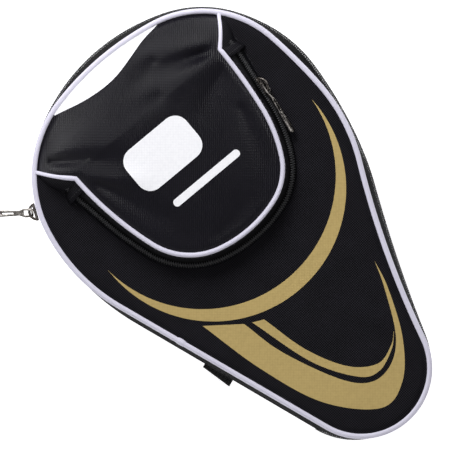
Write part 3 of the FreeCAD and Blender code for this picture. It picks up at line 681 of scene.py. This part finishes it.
# sections of the side wall: the share of the way from the edge outline to the zip's, outward, level
GUSSET = ((0.0, -1.3, 3.6), (0.06, -1.0, 4.6), (0.3, -0.75, 7.2), (0.6, -0.7, 10.2), (0.88, -1.1, 13.0),
          (0.98, -1.5, 14.2), (1.0, -1.9, 14.5), (1.0, -2.9, 14.4), (0.5, -3.1, 9.4), (0.0, -3.2, 4.3))
GUSSET_LINING = ((0.0, -3.7, 5.2), (0.5, -3.6, 9.8), (1.0, -3.7, 14.3),
                 (1.0, -4.4, 14.4), (0.5, -4.5, 9.8), (0.0, -4.5, 5.2))
# sections of the binding over the seam and of the zip tape: outward, level
BINDING = ((-5.3, 5.35), (-5.25, 5.9), (-5.7, 6.25), (-6.7, 6.3),
           (-7.7, 6.25), (-8.15, 5.9), (-8.1, 5.35), (-6.7, 5.1))
TAPE = ((-1.85, 14.0), (-1.8, 16.75), (-2.1, 16.9), (-2.65, 16.8), (-2.7, 14.6), (-2.4, 14.0))
COIL_LEVEL = 15.9
# one tooth of the main zip: outward, and toward the other coil
TOOTH = ((-1.65, -0.75), (-1.0, -0.85), (-0.45, -0.6), (-0.25, 0.1),
         (-0.3, 0.95), (-0.7, 1.35), (-1.15, 1.0), (-1.6, 0.3))

for side in ("back", "front"):
    front = side == "front"
    body = side + "_shell"
    face = front_face if front else back_face
    piping = on_shell(0, -PIPING_RADIUS, PIPING_DEPTH, front)
    tube(side + "_piping_cover", piping, edge_out, PIPING_RADIUS, piping_cloth, body=body, slot="piping_cord",
         replaces=(side + "_piping",))
    cover = dome(side + "_cover", edge - edge_out * 3.3, AXIS_OF_CASE, 44, face, panel_cloth,
                 thickness=FABRIC if front else -FABRIC, body=body, slot="black_nylon",
                 replaces=(side + "_panel",))
    pad_lining = dome(side + "_lining_pad", edge - edge_out * 5.0, AXIS_OF_CASE, 30,
                      front_inside if front else back_inside, lining_cloth, thickness=-0.8 if front else 0.8,
                      body=body, slot="lining", replaces=(side + "_lining",))
    wall_rows = [on_shell(share, outward, level, front) for share, outward, level in GUSSET]
    sweep(side + "_gusset", wall_rows, shaded_wall_cloth, body=body, slot="black_nylon", replaces=(side + "_wall",))
    lining_rows = [on_shell(share, outward, level, front) for share, outward, level in GUSSET_LINING]
    sweep(side + "_gusset_lining", lining_rows, lining_cloth, body=body, slot="lining",
          replaces=(side + "_wall_lining",))
    binding_rows = [on_shell(0, outward, level, front) for outward, level in BINDING]
    sweep(side + "_seam_tape", binding_rows, binding_cloth, crisp=False, body=body, slot="binding_tape",
          replaces=(side + "_seam_binding",))
    stitches(side + "_seam_stitches", on_shell(0, -6.7, 6.35, front), thread, body)
    stitches(side + "_gusset_stitches", on_shell(0.86, -1.0, 12.9, front), thread, body, pitch=3.2)
    tape_rows = [on_shell(1, outward, level, front, zip_points) for outward, level in TAPE]
    sweep(side + "_tape", tape_rows, tape_cloth, closed=False, body=body, slot="zip_tape",
          replaces=(side + "_zip_tape",))
    tooth = [(outward, -rise if front else rise) for outward, rise in TOOTH]
    coil_line = on_shell(1, 0, COIL_LEVEL, front, zip_points)
    teeth(side + "_coil", coil_line, zip_out[zip_points], tooth, coil_nylon, 0.0 if front else 0.5,
          body=body, slot="zip_coil", replaces=(side + "_zip_coil",))

for node in ("back_foam_board", "front_foam_board"):
    frame["nodes"][node].data.materials.clear()
    frame["nodes"][node].data.materials.append(board_foam)

# -------------------- the spine

# section of the fabric that joins the halves: outward, level from the back
SPINE = ((-1.25, 13.4), (-0.75, 15.0), (-0.6, 17.0), (-0.75, 19.0),
         (-1.25, 20.6), (-2.7, 20.2), (-2.8, 17.0), (-2.7, 13.8))
strip_rows = [on_shell(1, outward, level, False, hinge_points) for outward, level in SPINE]
spine = sweep("spine_fold_cloth", strip_rows, shaded_wall_cloth, closed=False, crisp=False, slot="black_nylon",
              replaces=("spine_hinge_strip",))
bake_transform(spine)

LOOP_HALF = 10.2
LOOP_ROOT = -3.2
LOOP_BIGHT = 2.0
LOOP_SKEW = 0.35


def webbing_loop():
    """Flat webbing folded double, its two layers meeting in a rounded bight that is a little skewed."""
    start = np.array(ZIP["start"])
    lean = math.radians(ZIP["lean"])
    along = forward(-lean)
    out = -to_right(-lean)
    box_low, box_high = (np.array(corner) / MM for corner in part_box("spine_loop"))
    centre = (box_low + box_high) / 2
    foot = start + along * ((centre[:2] - start) @ along)
    rows = []
    profile = []
    for k in range(13):
        turn = math.pi * (k / 12 - 0.5)
        profile.append((LOOP_BIGHT + 1.2 * math.cos(turn), centre[2] + 0.85 * math.sin(turn)))
    profile = [(LOOP_ROOT, centre[2] - 0.75)] + profile + [(LOOP_ROOT, centre[2] + 0.75)]
    inner = [(reach - 1.0 if reach > 0 else reach, centre[2] + (level - centre[2]) * 0.25)
             for reach, level in profile]
    for reach, level in profile + inner[::-1]:
        line = []
        for n in range(25):
            share = n / 24 * 2 - 1
            skew = 1.0 - LOOP_SKEW * share
            flat = foot + along * (LOOP_HALF * share) + out * (reach * skew if reach > 0 else reach)
            line.append((*flat, level))
        rows.append(np.array(line))
    return rows, foot, along, out, centre[2]


loop_rows, loop_foot, loop_along, loop_out, loop_level = webbing_loop()
sweep("webbing_loop", loop_rows, webbing_cloth, closed=False, body="back_shell", slot="webbing",
      replaces=("spine_loop",))
for reach in (0.4, 1.6):
    ends = [loop_foot + loop_along * share * 9.4 + loop_out * reach for share in (-1, 1)]
    seam = np.array([(*end, loop_level + 0.8) for end in ends])
    stitches(f"webbing_stitches_{int(reach * 10)}", seam, thread, "back_shell", pitch=2.4, length=1.7,
             closed=False)

# the overlap where the ends of the front piping meet: how far along the spine, then offset and radius
SPLICE_AT = 105.0
SPLICE = ((-3.0, 1.75), (-2.4, 2.08), (-0.8, 2.2), (0.8, 2.2), (2.4, 2.08), (3.0, 1.75))
along_spine = forward(math.radians(-EDGE["lean"]))
splice_centre = np.array(EDGE["start"]) + along_spine * SPLICE_AT - edge_out[0] * PIPING_RADIUS
splice_line = np.array([(*(splice_centre + along_spine * offset), DEPTH - PIPING_DEPTH)
                        for offset, _ in SPLICE])
tube("piping_splice", splice_line, np.array([edge_out[0]] * len(SPLICE)),
     np.array([radius for _, radius in SPLICE]), piping_cloth, closed=False, body="front_shell",
     slot="piping_cord")

# -------------------- prints on the front

PRINT_LIFT = 0.10
POCKET_PRINT_LIFT = 0.12


def arc_points(centre, radius, first, last, steps=60):
    """Points on a circle's arc between two angles in degrees."""
    points = []
    for k in range(steps + 1):
        angle = math.radians(first + k / steps * (last - first))
        points.append((centre[0] + radius * math.cos(angle), centre[1] + radius * math.sin(angle)))
    return np.array(points)


crescent_outer = arc_points((3.0, -18.3), 82.5, -178.0, -1.5)
crescent_inner = arc_points((2.9, -7.9), 82.8, -174.8, -5.0)
sweep_outer = smooth_curve([(-56.6, -79.6), (-46.1, -122.7), (-29.9, -163.2), (-4.1, -189.6), (16.8, -185.2),
                            (34.3, -164.2), (46.8, -135.2), (51.3, -116.7)])
sweep_inner = smooth_curve([(-36.0, -95.2), (-29.1, -123.6), (-12.2, -159.4), (2.0, -173.4), (18.1, -172.5),
                            (32.2, -160.1), (45.0, -134.0), (51.3, -116.7)])
line_outer = smooth_curve([(-31.6, -97.6), (-19.1, -139.6), (-2.7, -165.4), (9.8, -171.2), (24.5, -165.6),
                           (32.4, -158.2)])
line_inner = smooth_curve([(-24.7, -100.9), (-16.9, -131.3), (-3.7, -156.0), (12.0, -167.1), (25.6, -163.6),
                           (32.4, -158.0)])
for name, outer, inner, rows in (("gold_crescent", crescent_outer, crescent_inner, 6),
                                 ("gold_sweep", sweep_outer, sweep_inner, 10),
                                 ("gold_line", line_outer, line_inner, 5)):
    strip_between(name, outer, inner, rows, front_face, gold_ink, PRINT_LIFT, body="front_shell",
                  slot="black_nylon")

# -------------------- the ball pocket

# the cloth is level below this line and slopes to the head above it
HEAD_FOLD_Y = 43.0
HEAD_EDGE_LEVEL = 34.2
# the sideways bow of the pocket's edge from a kink to the case's piping
LEAD_BOW = -0.8
# the cloth meets the case's piping where that runs above this y and to the left of this x
HEAD_LEFT_Y = 58.0
HEAD_RIGHT_X = 74.3
# the pocket's piping leaves its outline just after the left kink
seamed = slice(2, None)
inner_edge = edge - edge_out * 3.9
head = inner_edge[(inner_edge[:, 1] > HEAD_LEFT_Y) & (inner_edge[:, 0] < HEAD_RIGHT_X)]
head = head[np.argsort(-head[:, 0])]
head_x = head[::-1, 0]
head_y = head[::-1, 1]


def lead(start, end, bow):
    """Flat line from a kink to the case's piping, bowed a little to one side."""
    step = end - start
    aside = np.array((-step[1], step[0])) / np.linalg.norm(step)
    shares = np.linspace(0, 1, 10)[1:-1]
    return np.array([start + step * share + aside * bow * math.sin(math.pi * share) for share in shares])


panel_edge = (pocket - pocket_out * 2.9)[seamed]
lead_right = lead(panel_edge[-1], head[0], LEAD_BOW)
lead_left = lead(head[-1], panel_edge[0], LEAD_BOW)
pocket_boundary = np.vstack((panel_edge, lead_right, head, lead_left))
# each fold of the cloth: from x, y to x, y, then its depth and half width
FOLDS = (
    (58.0, 47.0, 18.0, 62.0, 4.0, 5.0),
    (56.0, 54.0, 12.0, 76.0, -1.4, 7.5),
    (59.0, 42.0, 32.0, 42.0, -1.2, 4.5),
    (57.0, 35.0, 28.0, 22.0, 1.6, 4.5),
    (-64.0, 58.0, -34.0, 36.0, 3.6, 4.5),
    (-62.0, 64.0, -24.0, 52.0, -1.3, 7.5),
    (-54.0, 38.0, -28.0, 14.0, -1.6, 4.5),
    (-50.0, 28.0, -32.0, -14.0, 1.3, 4.5),
    (12.0, 46.0, -24.0, 52.0, 1.6, 8.0),
    (-14.0, -44.0, 18.0, -38.0, 1.0, 6.0),
    (48.0, 8.0, 38.0, -24.0, 1.0, 5.0),
    (24.0, 66.0, -6.0, 60.0, 1.2, 6.0),
)


def fold_depth(flat):
    """How deep the folds press in, widest and shallowest at their far ends; a negative fold stands out."""
    total = np.zeros(len(flat))
    for x0, y0, x1, y1, depth, width in FOLDS:
        a = np.array((x0, y0))
        step = np.array((x1, y1)) - a
        along = ((flat - a) @ step) / (step @ step)
        share = np.clip(along, 0, 1)
        away = np.linalg.norm(flat - a - share[:, None] * step, axis=1)
        reach = width * (0.6 + 0.9 * share)
        total += 1.25 * depth * np.exp(-(away / reach)**2) * (1 - 0.65 * share)
    return total


def head_share(flat):
    """Share of the way from the pocket's fold up to the case's head, from 0 to 1."""
    top = np.interp(flat[:, 0], head_x, head_y)
    return np.clip((flat[:, 1] - HEAD_FOLD_Y) / np.maximum(top - HEAD_FOLD_Y, 1), 0, 1)


def pocket_height(flat):
    """Puffed front of the pocket, level over the mouth and sloping to the case's piping at the head."""
    to_edge = distance_to(pocket_boundary, flat)
    share = head_share(flat)
    slope = (POCKET_TOP - HEAD_EDGE_LEVEL) * share**1.25
    free = 1 - np.exp(-(to_edge / 7.0)**2)
    puff = 1.5 * (1 - np.exp(-(to_edge / 22.0)**2)) * (1 - share)
    seam = 1.2 * np.exp(-(to_edge / 1.8)**2)
    return POCKET_TOP - slope + puff - seam - fold_depth(flat) * free


pocket_cover = dome("pocket_cover", pocket_boundary, ((-22.0, 38.0), (24.0, 38.0)), 64, pocket_height,
                    pocket_cloth, thickness=0.9, slot="ribbed_nylon",
                    replaces=("pocket_panel", "pocket_crown"))
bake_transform(pocket_cover)

inside_edge = pocket - pocket_out * 4.2
top_x = np.linspace(inside_edge[-1][0], inside_edge[0][0], 24)[1:-1]
inside_edge = np.vstack((inside_edge, [(x, POCKET_START[1]) for x in top_x]))


def pocket_inside(flat):
    """Underside of the pocket's front, drawn down a little at its seam."""
    return POCKET_TOP - POCKET_PIPING_RADIUS - 0.5 * np.exp(-(distance_to(inside_edge, flat) / 4.0)**2)


pocket_pad = dome("pocket_lining_pad", inside_edge, ((-18.0, 8.0), (20.0, 8.0)), 26, pocket_inside,
                  lining_cloth, thickness=0.7, body="pocket_flap", slot="lining", replaces=("pocket_lining",))

# the piping's line, from the case's piping at the left, round the pocket, to the case's at the right
cord_line = (pocket - pocket_out * POCKET_PIPING_RADIUS)[seamed]
lead_out_right = lead(cord_line[-1], head[0] + (0.6, 0.4), LEAD_BOW)
lead_out_left = lead(head[-1] + (-0.6, 0.4), cord_line[0], LEAD_BOW)
pocket_line = np.vstack((head[-1] + (-1.2, 1.0), lead_out_left, cord_line,
                         lead_out_right, head[0] + (1.2, 1.0)))


def piping_level(flat):
    """Level of the pocket's piping, which comes down to the case's own at the head."""
    return POCKET_TOP - POCKET_PIPING_RADIUS - (POCKET_TOP - HEAD_EDGE_LEVEL - 0.4) * head_share(flat)**1.25


line3 = np.column_stack((pocket_line, piping_level(pocket_line)))
step = np.gradient(pocket_line, axis=0)
line_out = np.column_stack((step[:, 1], -step[:, 0])) / np.linalg.norm(step, axis=1)[:, None]
lead_share = np.clip((pocket_line[:, 1] - HEAD_FOLD_Y) / 6.0, 0, 1)
cord_radius = POCKET_PIPING_RADIUS - 0.15 - 0.35 * lead_share
pocket_cord = tube("pocket_piping_cover", line3, line_out, cord_radius, piping_cloth, closed=False,
                   slot="piping_cord", replaces=("pocket_piping",))
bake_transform(pocket_cord)


def pocket_ring(name, outer, inner, material, body, slot, replaces):
    """Band of the pocket's side; outer and inner are (outward, height) pairs, down and up again."""
    rows = [on_pocket(outward_by, height) for outward_by, height in outer + inner]
    return sweep(name, rows, material, closed=False, body=body, slot=slot, replaces=replaces)


pocket_ring("pocket_rim_band", [(-1.0, 49.2), (-0.5, 47.4), (0.9, 45.2), (2.1, 43.6)],
            [(1.2, 43.4), (0.0, 45.0), (-1.5, 47.4), (-2.0, 49.0)], rim_cloth, "pocket_flap", "ribbed_nylon",
            ("pocket_rim",))
pocket_ring("pocket_tape_upper", [(2.0, 43.5), (2.7, 42.4), (3.3, 41.3)],
            [(2.3, 41.2), (1.7, 42.3), (1.1, 43.3)], tape_cloth, "pocket_flap", "zip_tape",
            ("pocket_upper_tape",))
pocket_ring("pocket_tape_lower", [(4.9, 38.9), (5.5, 37.8), (6.1, 36.8)],
            [(5.1, 36.7), (4.5, 37.7), (3.9, 38.8)], tape_cloth, "front_shell", "zip_tape",
            ("pocket_lower_tape",))
pocket_ring("pocket_side_band", [(6.1, 36.8), (6.8, 35.6), (7.7, 34.3), (8.4, 34.3)],
            [(8.4, 33.6), (6.6, 33.6), (5.6, 35.6), (5.1, 36.7)], rim_cloth, "front_shell", "ribbed_nylon",
            ("pocket_side_wall",))


def sloping_loop(first, last, under, over):
    """Loop of a tooth on the pocket's side: first to last down the slope, under to over away from it."""
    down = np.array((0.503, -0.864))
    away = np.array((-down[1], down[0]))
    middle = np.array((4.2, 0.0))
    places = ((0.0, 0.5), (0.12, 0.9), (0.5, 1.0), (0.88, 0.9),
              (1.0, 0.5), (0.88, 0.1), (0.5, 0.0), (0.12, 0.1))
    return [middle + down * (first + (last - first) * a) + away * (under + (over - under) * b)
            for a, b in places]


coil_line = on_pocket(0, 40.05)
teeth("pocket_coil_upper", coil_line, pocket_out, sloping_loop(0.55, -2.3, 0.1, 1.25), coil_nylon, 0.0,
      body="pocket_flap", slot="zip_coil", replaces=("pocket_upper_coil",))
teeth("pocket_coil_lower", coil_line, pocket_out, sloping_loop(-0.55, 2.3, 0.1, 1.25), coil_nylon, 0.5,
      body="front_shell", slot="zip_coil", replaces=("pocket_lower_coil",))
stitches("pocket_rim_stitches", on_pocket(0.4, 46.1), thread, "pocket_flap", pitch=3.0, closed=False)
stitches("pocket_side_stitches", on_pocket(8.0, 34.45), thread, "front_shell", pitch=3.0, closed=False)

# a tab is narrow at the case's piping and wide where it covers the end of the zip
TAB_ROOT = 0.9
TAB_FOOT_LEVEL = 34.5
TAB_NARROW = 2.2
TAB_WIDE = 14.0
TAB_BULGE = 2.2
TAB_ROWS = 12


def corner_tab(side, some):
    """Folded cloth from the pocket's piping down to the panel, over the end of the zip."""
    flat = pocket_line[some]
    outs = line_out[some]
    top = line3[some][:, 2] - 0.7
    share = np.linspace(0, 1, len(flat))
    width = TAB_NARROW + (TAB_WIDE - TAB_NARROW) * share**0.7
    rows = []
    for k in range(TAB_ROWS):
        v = k / (TAB_ROWS - 1)
        bulge = TAB_BULGE * math.sin(math.pi * v) * share
        rows.append(np.column_stack((flat + outs * (TAB_ROOT + (width - TAB_ROOT) * v)[:, None],
                                     top + (TAB_FOOT_LEVEL - top) * v**1.1 + bulge)))
    rows = np.array(rows)
    points = rows.reshape(-1, 3)
    tab = new_piece("end_tab_" + side, points, grid_faces(len(rows), len(flat)), panel_cloth,
                    slot="black_nylon", replaces=("pocket_end_tab_" + side,), uv=view_uv(points[:, :2]))
    thicken(tab, 0.9)
    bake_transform(tab)
    hem = rows[1:-1, -2] + (0, 0, 0.35)
    row = stitches("end_tab_stitches_" + side, hem, thread, None, pitch=2.4, length=1.6, closed=False)
    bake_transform(row)


corner_tab("left", slice(1, 14))
corner_tab("right", slice(-2, -15, -1))

# -------------------- prints on the pocket

head_print_low = smooth_curve([(-43.5, 79.4), (-23.1, 74.4), (-7.3, 72.9), (4.5, 74.0), (16.7, 77.1),
                               (28.2, 80.2), (41.0, 81.9)], 8)
print_x = head_print_low[:, 0]
head_print_high = np.column_stack((print_x, np.interp(print_x, head_x, head_y) + 0.7))


def pocket_print(name, low, high, rows):
    """White print on the pocket's cloth, which folds with it."""
    mark = strip_between(name, low, high, rows, pocket_height, white_ink, POCKET_PRINT_LIFT,
                         slot="ribbed_nylon")
    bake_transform(mark)


def rounded_block(centre, size_x, size_y, corner, steps=8):
    """Corner-rounded rectangle, as its lower and upper edges from left to right."""
    low = []
    for k in range(steps + 1):
        angle = math.pi * k / (2 * steps)
        low.append((-size_x / 2 + corner - corner * math.cos(angle),
                    -size_y / 2 + corner - corner * math.sin(angle)))
    middle = [(x, -size_y / 2) for x in np.linspace(-size_x / 2 + corner, size_x / 2 - corner, 12)[1:-1]]
    low = np.array(low + middle + [(-x, y) for x, y in low[::-1]])
    return low + centre, low * (1, -1) + centre


pocket_print("head_print", head_print_low, head_print_high, 12)
pocket_print("blank_label", *rounded_block((-7.0, 18.0), 48.0, 30.0, 9.0), 16)
pocket_print("blank_line", *rounded_block((4.0, -11.0), 52.0, 5.0, 2.4), 16)

# -------------------- sliders and pulls

refined("main_slider", "main_zip_slider", slider_metal, "main_slider", "black_nickel", swell=0.2)
refined("pocket_slider", "pocket_zip_slider", slider_metal, "pocket_slider", "black_nickel", swell=0.12)
main_pull = refined("main_pull", "main_zip_pull", black_nickel, None, "black_nickel", 0.3)
refined("pocket_pull", "pocket_zip_pull", black_nickel, "pocket_pull", "black_nickel", 0.3)

# half a pull's thickness, and the studs on its faces
PULL_HALF = 0.55
STUD_HEIGHT = 0.45
STUD_RADIUS = 0.85


def pull_axes(node, joint_name):
    """Hinge point of a pull in millimetres, and its directions along, across and out of its face."""
    joint = next(joint for joint in frame["joints"] if joint["name"] == joint_name)
    hinge_at = np.array(joint["pos_m"]) / MM
    points = np.array([v.co for v in frame["nodes"][node].data.vertices]) / MM
    across = np.array(joint["axis"])
    along = points.mean(axis=0) - hinge_at
    along -= across * (along @ across)
    along /= np.linalg.norm(along)
    return hinge_at, along, across, np.cross(across, along)


def pull_studs(name, node, joint_name, places):
    """Small round studs on both faces of a pull, placed by their distance from its hinge."""
    hinge_at, along, across, normal = pull_axes(node, joint_name)
    verts = []
    faces = []
    rings, sides = 5, 12
    for distance in places:
        for facing in (-1, 1):
            first = len(verts)
            for r in range(rings + 1):
                lift = math.pi / 2 * r / rings
                for k in range(sides):
                    angle = 2 * math.pi * k / sides
                    spread = STUD_RADIUS * math.cos(lift)
                    aside = along * math.cos(angle) + across * math.sin(angle)
                    height = PULL_HALF + STUD_HEIGHT * math.sin(lift)
                    verts.append(hinge_at + along * distance + normal * facing * height + aside * spread)
            faces += grid_faces(rings + 1, sides, first, wrap=True)
    return new_piece(name, verts, faces, black_nickel, slot="black_nickel")


# the main pull lies twisted on its slider by this many degrees
PULL_ROLL = 30.0
main_studs = pull_studs("main_pull_studs", "main_pull", "main_pull_swing", (21.5, 25.5))
pivot, lengthwise, _, _ = pull_axes("main_pull", "main_pull_swing")
roll = Matrix.Rotation(math.radians(PULL_ROLL), 4, Vector(lengthwise))
turned = Matrix.Translation(Vector(pivot * MM)) @ roll @ Matrix.Translation(Vector(-pivot * MM))
for piece in (main_pull, main_studs):
    piece.data.transform(turned)
    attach(piece, "main_pull")
pocket_studs = pull_studs("pocket_pull_studs", "pocket_pull", "pocket_pull_swing", (10.6, 20.8))
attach(pocket_studs, "pocket_pull")

# -------------------- floor, lights and camera

FLOOR_LEVEL = -0.9
FLOOR_REACH = 6.0
floor_corners = [(x * FLOOR_REACH, y * FLOOR_REACH, FLOOR_LEVEL * MM)
                 for x, y in ((-1, -1), (1, -1), (1, 1), (-1, 1))]
floor_mesh = bpy.data.meshes.new("floor")
floor_mesh.from_pydata(floor_corners, [], [(0, 1, 2, 3)])
floor = linked("floor", floor_mesh)
floor_look = Look("floor_paper", 0.9, specular=0.1)
floor_look.colour(floor_look.ramp(floor_look.noise(3.0), 0.0, 1.0, (0.9, 0.9, 0.9), (0.94, 0.94, 0.94)))
floor_look.shader.inputs["Emission Color"].default_value = (1, 1, 1, 1)
floor_look.shader.inputs["Emission Strength"].default_value = 0.75
floor_mesh.materials.append(floor_look.material)

world = bpy.data.worlds.new("studio")
world.use_nodes = True
world.node_tree.nodes["Background"].inputs["Color"].default_value = (1, 1, 1, 1)
world.node_tree.nodes["Background"].inputs["Strength"].default_value = 0.25
bpy.context.scene.world = world
bpy.context.scene.view_settings.view_transform = "Standard"


def soft_light(name, place, aim, power, size):
    """Square area light turned to a point."""
    lamp = bpy.data.lights.new(name, "AREA")
    lamp.energy = power
    lamp.size = size
    made = linked(name, lamp)
    made.location = place
    made.rotation_mode = "QUATERNION"
    made.rotation_quaternion = (Vector(aim) - Vector(place)).to_track_quat("-Z", "Y")


soft_light("key", (0.35, 0.95, 0.9), (0, -0.05, 0), 22.0, 0.6)
soft_light("fill", (-0.9, -1.3, 1.3), (0, -0.05, 0), 11.0, 1.2)

CAMERA_AWAY = 3.0
VIEW_CENTRE = (-4.9, -50.9)
VIEW_WIDTH = 294.0
camera_data = bpy.data.cameras.new("camera")
camera_data.lens = 36.0 * (CAMERA_AWAY - DEPTH * MM) / (VIEW_WIDTH * MM)
camera_data.clip_end = 20
camera = linked("camera", camera_data)
camera.location = (VIEW_CENTRE[0] * MM, VIEW_CENTRE[1] * MM, CAMERA_AWAY)
camera.rotation_mode = "QUATERNION"
axes = Matrix(((RIGHT_IN_VIEW[0], UP_IN_VIEW[0], 0), (RIGHT_IN_VIEW[1], UP_IN_VIEW[1], 0), (0, 0, 1)))
camera.rotation_quaternion = axes.to_quaternion()
bpy.context.scene.camera = camera
